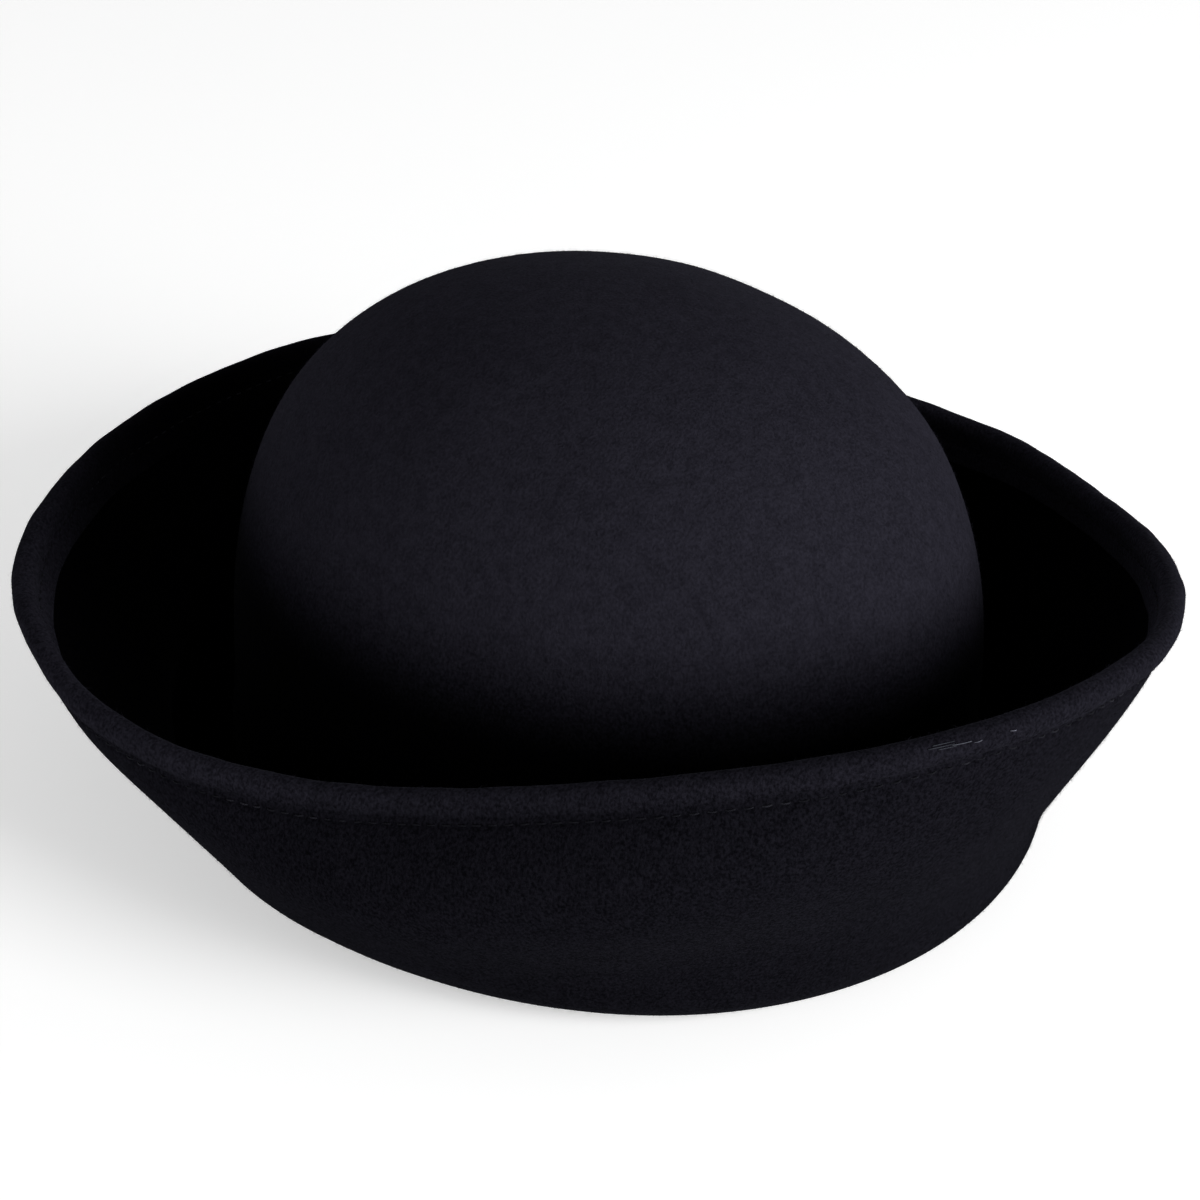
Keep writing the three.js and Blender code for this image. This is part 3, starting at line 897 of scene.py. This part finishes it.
# the two rows that hold the ribbon to the felt, and the upright one that closes its overlap
def bandRows():
    wholeTurn = 2 * math.pi
    angle = np.linspace(0, wholeTurn, stitch["guidePoints"], endpoint=False)
    z = band["stitchHeight"] + 0 * angle
    overlap = math.radians(band["overlap"])
    end = backAngle + wholeTurn + overlap / 2
    first = np.where(angle < backAngle - overlap / 2, angle + wholeTurn, angle)
    second = np.where(first < end + overlap - wholeTurn, first + wholeTurn, first)
    face = np.maximum(bandClearance(first, end, overlap), bandClearance(second, end, overlap))
    inner = pair(insideCrown(angle, z, face + band["thickness"]), z)
    outer = pair(insideCrown(angle, z, -felt["thickness"]), z)
    inward = pair(-1 + 0 * z, 0 * z)

    low = band["stitchHeight"] + band["tackMargin"]
    high = band["bottom"] + band["height"] - band["tackMargin"]
    rise = np.linspace(low, high, band["tackPoints"])
    back = backAngle + 0 * rise
    upright = pair(insideCrown(back, rise, doubleBand()), rise)
    rows = [
        ("band_needle_stitches", inner, inward, angle, 31, True),
        ("band_bobbin_stitches", outer, -inward, angle, 32, True),
        ("band_tack_stitches", upright, pair(-1 + 0 * rise, 0 * rise), back, 33, False),
    ]
    made = []
    for name, points, out, at, seed, closed in rows:
        made.append(stitchRow(name, stitching, onHat(points, at), onHat(out, at),
                              bandThreadLook, seed, closed))
    return made


ribbon = sweatband()
labelLoop = sizeLabel()
bandNeedle, bandBobbin, bandTack = bandRows()
print("sweatband and label made")

# wire inside the turned edge, and the crimped tube over its ends
wire = {
    "radius": 0.4 * mm, "endGap": 1.2 * mm, "sides": 10, "stations": 320,
    "joinerRadius": 0.65 * mm, "joinerBore": 0.5 * mm, "joinerReach": 6, "joinerStations": 25,
    "joinerSides": 12, "crimp": 0.06 * mm, "crimps": 3, "crimpSharpness": 8,
}
# loose ends of thread on the rim; each end has its degrees round the rim, degrees over the bead,
# length, lean along the rim and lift
tails = {
    "radius": 0.11 * mm, "sides": 6, "points": 12, "bed": 0.6, "taper": 0.4, "bend": 0.8,
    "ends": [
        (-17.5, 38, 5.0 * mm, 0.8, 0.9 * mm), (-15.0, 30, 4.0 * mm, -0.5, 0.6 * mm),
        (-12.5, 35, 3.4 * mm, 0.3, 0.8 * mm),
    ],
    "dullEnds": [
        (-19.4, 42, 5.5 * mm, 1.0, 0.2 * mm), (-19.0, 52, 4.6 * mm, 1.0, 0.15 * mm),
        (-18.6, 33, 4.2 * mm, 0.9, 0.3 * mm),
    ],
}


# rings of a radius round the points of a path; a profile lists the point and radius of each ring
def tubePiece(name, path, profile, sides, look, closed=False):
    along = unit(np.gradient(path, axis=0))
    guide = np.array([0.0, 0.0, 1.0])
    turns = 2 * math.pi * np.arange(sides) / sides
    frames = []
    for direction in along:
        guide = unit(guide - direction * (guide @ direction))
        across = np.cross(direction, guide)
        frames.append(np.outer(np.cos(turns), guide) + np.outer(np.sin(turns), across))
    rings = [path[k] + radius * frames[k] for k, radius in profile]
    faces = gridFaces(len(rings), sides, closed, True)
    if not closed:
        last = (len(rings) - 1) * sides
        faces.append(tuple(reversed(range(sides))))
        faces.append(tuple(last + j for j in range(sides)))
    return meshPiece(name, np.concatenate(rings), [face[::-1] for face in faces], look)


def rimPath(angle):
    return handShaped(onHat(pair(rimRadius(angle), rimHeight(angle)), angle))


def hemWire():
    gap = wire["endGap"] / 2 / float(rimRadius(backAngle))
    angle = np.linspace(backAngle + gap, backAngle + 2 * math.pi - gap, wire["stations"])
    profile = [(k, wire["radius"]) for k in range(len(angle))]
    return tubePiece("hem_wire", rimPath(angle), profile, wire["sides"], steelLook)


def wireJoiner():
    reach = math.radians(wire["joinerReach"])
    t = np.linspace(-1, 1, wire["joinerStations"])
    crimps = np.cos(t * math.pi * wire["crimps"]) ** wire["crimpSharpness"]
    outer = wire["joinerRadius"] - wire["crimp"] * crimps
    profile = [(k, radius) for k, radius in enumerate(outer)]
    profile += [(k, wire["joinerBore"]) for k in reversed(range(len(t)))]
    path = rimPath(backAngle + reach * t)
    return tubePiece("crimped_joiner", path, profile, wire["joinerSides"], brassLook, True)


# a loose end where the hem's stitching starts or stops
def threadTail(number, look, degrees, over, length, aside, lift):
    start = math.radians(degrees) + np.zeros(tails["points"])
    t = np.linspace(0, 1, tails["points"])
    angle = start + aside * length * t / rimRadius(start)
    centre, out, up = overWire(angle)
    normal = out * math.cos(math.radians(over)) + up * math.sin(math.radians(over))
    bed = beadRadius + half + tails["radius"] * tails["bed"]
    stand = bed + lift * np.sin(math.pi * t * tails["bend"])
    path = handShaped(onHat(centre + normal * stand[:, None], angle))
    profile = [(k, tails["radius"] * (1 - tails["taper"] * part)) for k, part in enumerate(t)]
    return tubePiece("thread_tail_" + str(number), path, profile, tails["sides"], look)


hemWirePiece = hemWire()
joinerPiece = wireJoiner()
tailList = [(looseThreadLook, end) for end in tails["ends"]]
tailList += [(dullThreadLook, end) for end in tails["dullEnds"]]
tailPieces = [threadTail(number, look, *end) for number, (look, end) in enumerate(tailList, 1)]
print("wire, joiner and thread ends made")

studio = {
    "floor": 0.9, "floorRoughness": 0.9, "floorGlow": 0.45, "floorReach": 4.0,
    "horizon": 1.05, "zenith": 0.12, "horizonTop": 0.25, "zenithFrom": 0.8,
    "key": 25, "keySize": 0.8, "keyPlace": (0.26, -1.48, 0.62), "keyAim": (0, 0, 0.06),
}


def keyLight():
    data = bpy.data.lights.new("key", "AREA")
    data.energy = studio["key"]
    data.size = studio["keySize"]
    lamp = bpy.data.objects.new("key", data)
    lamp.location = studio["keyPlace"]
    towards = Vector(studio["keyAim"]) - Vector(studio["keyPlace"])
    lamp.rotation_euler = towards.to_track_quat("-Z", "Y").to_euler()
    bpy.context.collection.objects.link(lamp)


def makeStage():
    reach = studio["floorReach"]
    corners = [(-reach, -reach, 0), (reach, -reach, 0), (reach, reach, 0), (-reach, reach, 0)]
    mesh = bpy.data.meshes.new("floor")
    mesh.from_pydata(corners, [], [(0, 1, 2, 3)])
    floor = bpy.data.objects.new("floor", mesh)
    bpy.context.collection.objects.link(floor)
    paper = bpy.data.materials.new("paper")
    paper.use_nodes = True
    surface = paper.node_tree.nodes["Principled BSDF"]
    surface.inputs["Base Color"].default_value = (studio["floor"],) * 3 + (1,)
    surface.inputs["Roughness"].default_value = studio["floorRoughness"]
    surface.inputs["Emission Color"].default_value = (1, 1, 1, 1)
    surface.inputs["Emission Strength"].default_value = studio["floorGlow"]
    mesh.materials.append(paper)
    world = bpy.data.worlds.new("studio")
    world.use_nodes = True
    sky = Graph(world.node_tree)
    direction = sky.node("ShaderNodeTexCoord", output="Generated")
    height = sky.node("ShaderNodeSeparateXYZ", None, {"Vector": direction}, "Z")
    fade = {"Value": height, "From Min": studio["horizonTop"], "From Max": studio["zenithFrom"],
            "To Min": studio["horizon"], "To Max": studio["zenith"]}
    strength = sky.node("ShaderNodeMapRange",
                        {"clamp": True, "interpolation_type": "SMOOTHSTEP"}, fade)
    background = world.node_tree.nodes["Background"]
    background.inputs["Color"].default_value = (1, 1, 1, 1)
    sky.join(strength, background.inputs["Strength"])
    bpy.context.scene.world = world
    bpy.context.scene.view_settings.view_transform = "Standard"
    keyLight()


makeStage()
print("stage set")

# every piece with the CAD node that it replaces and its material slot
slots = [
    (hatFelt, "felt_body", "wool_felt"), (hemWirePiece, "brim_wire", "wire_steel"),
    (joinerPiece, "wire_joiner", "joiner_brass"), (hemNeedle, "hem_needle_thread", "sewing_thread"),
    (hemBobbin, "hem_bobbin_thread", "sewing_thread"), (ribbon, "sweatband", "grosgrain"),
    (bandNeedle, "sweatband_needle_thread", "sewing_thread"),
    (bandBobbin, "sweatband_bobbin_thread", "sewing_thread"),
    (bandTack, "sweatband_joint_thread", "sewing_thread"), (labelLoop, "size_label", "label_tape"),
]
slots += [(piece, None, "wool_felt") for piece in naps]
slots += [(piece, None, "sewing_thread") for piece in tailPieces]
for piece, node, slot in slots:
    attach(piece, "root")
    if node:
        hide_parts(node)
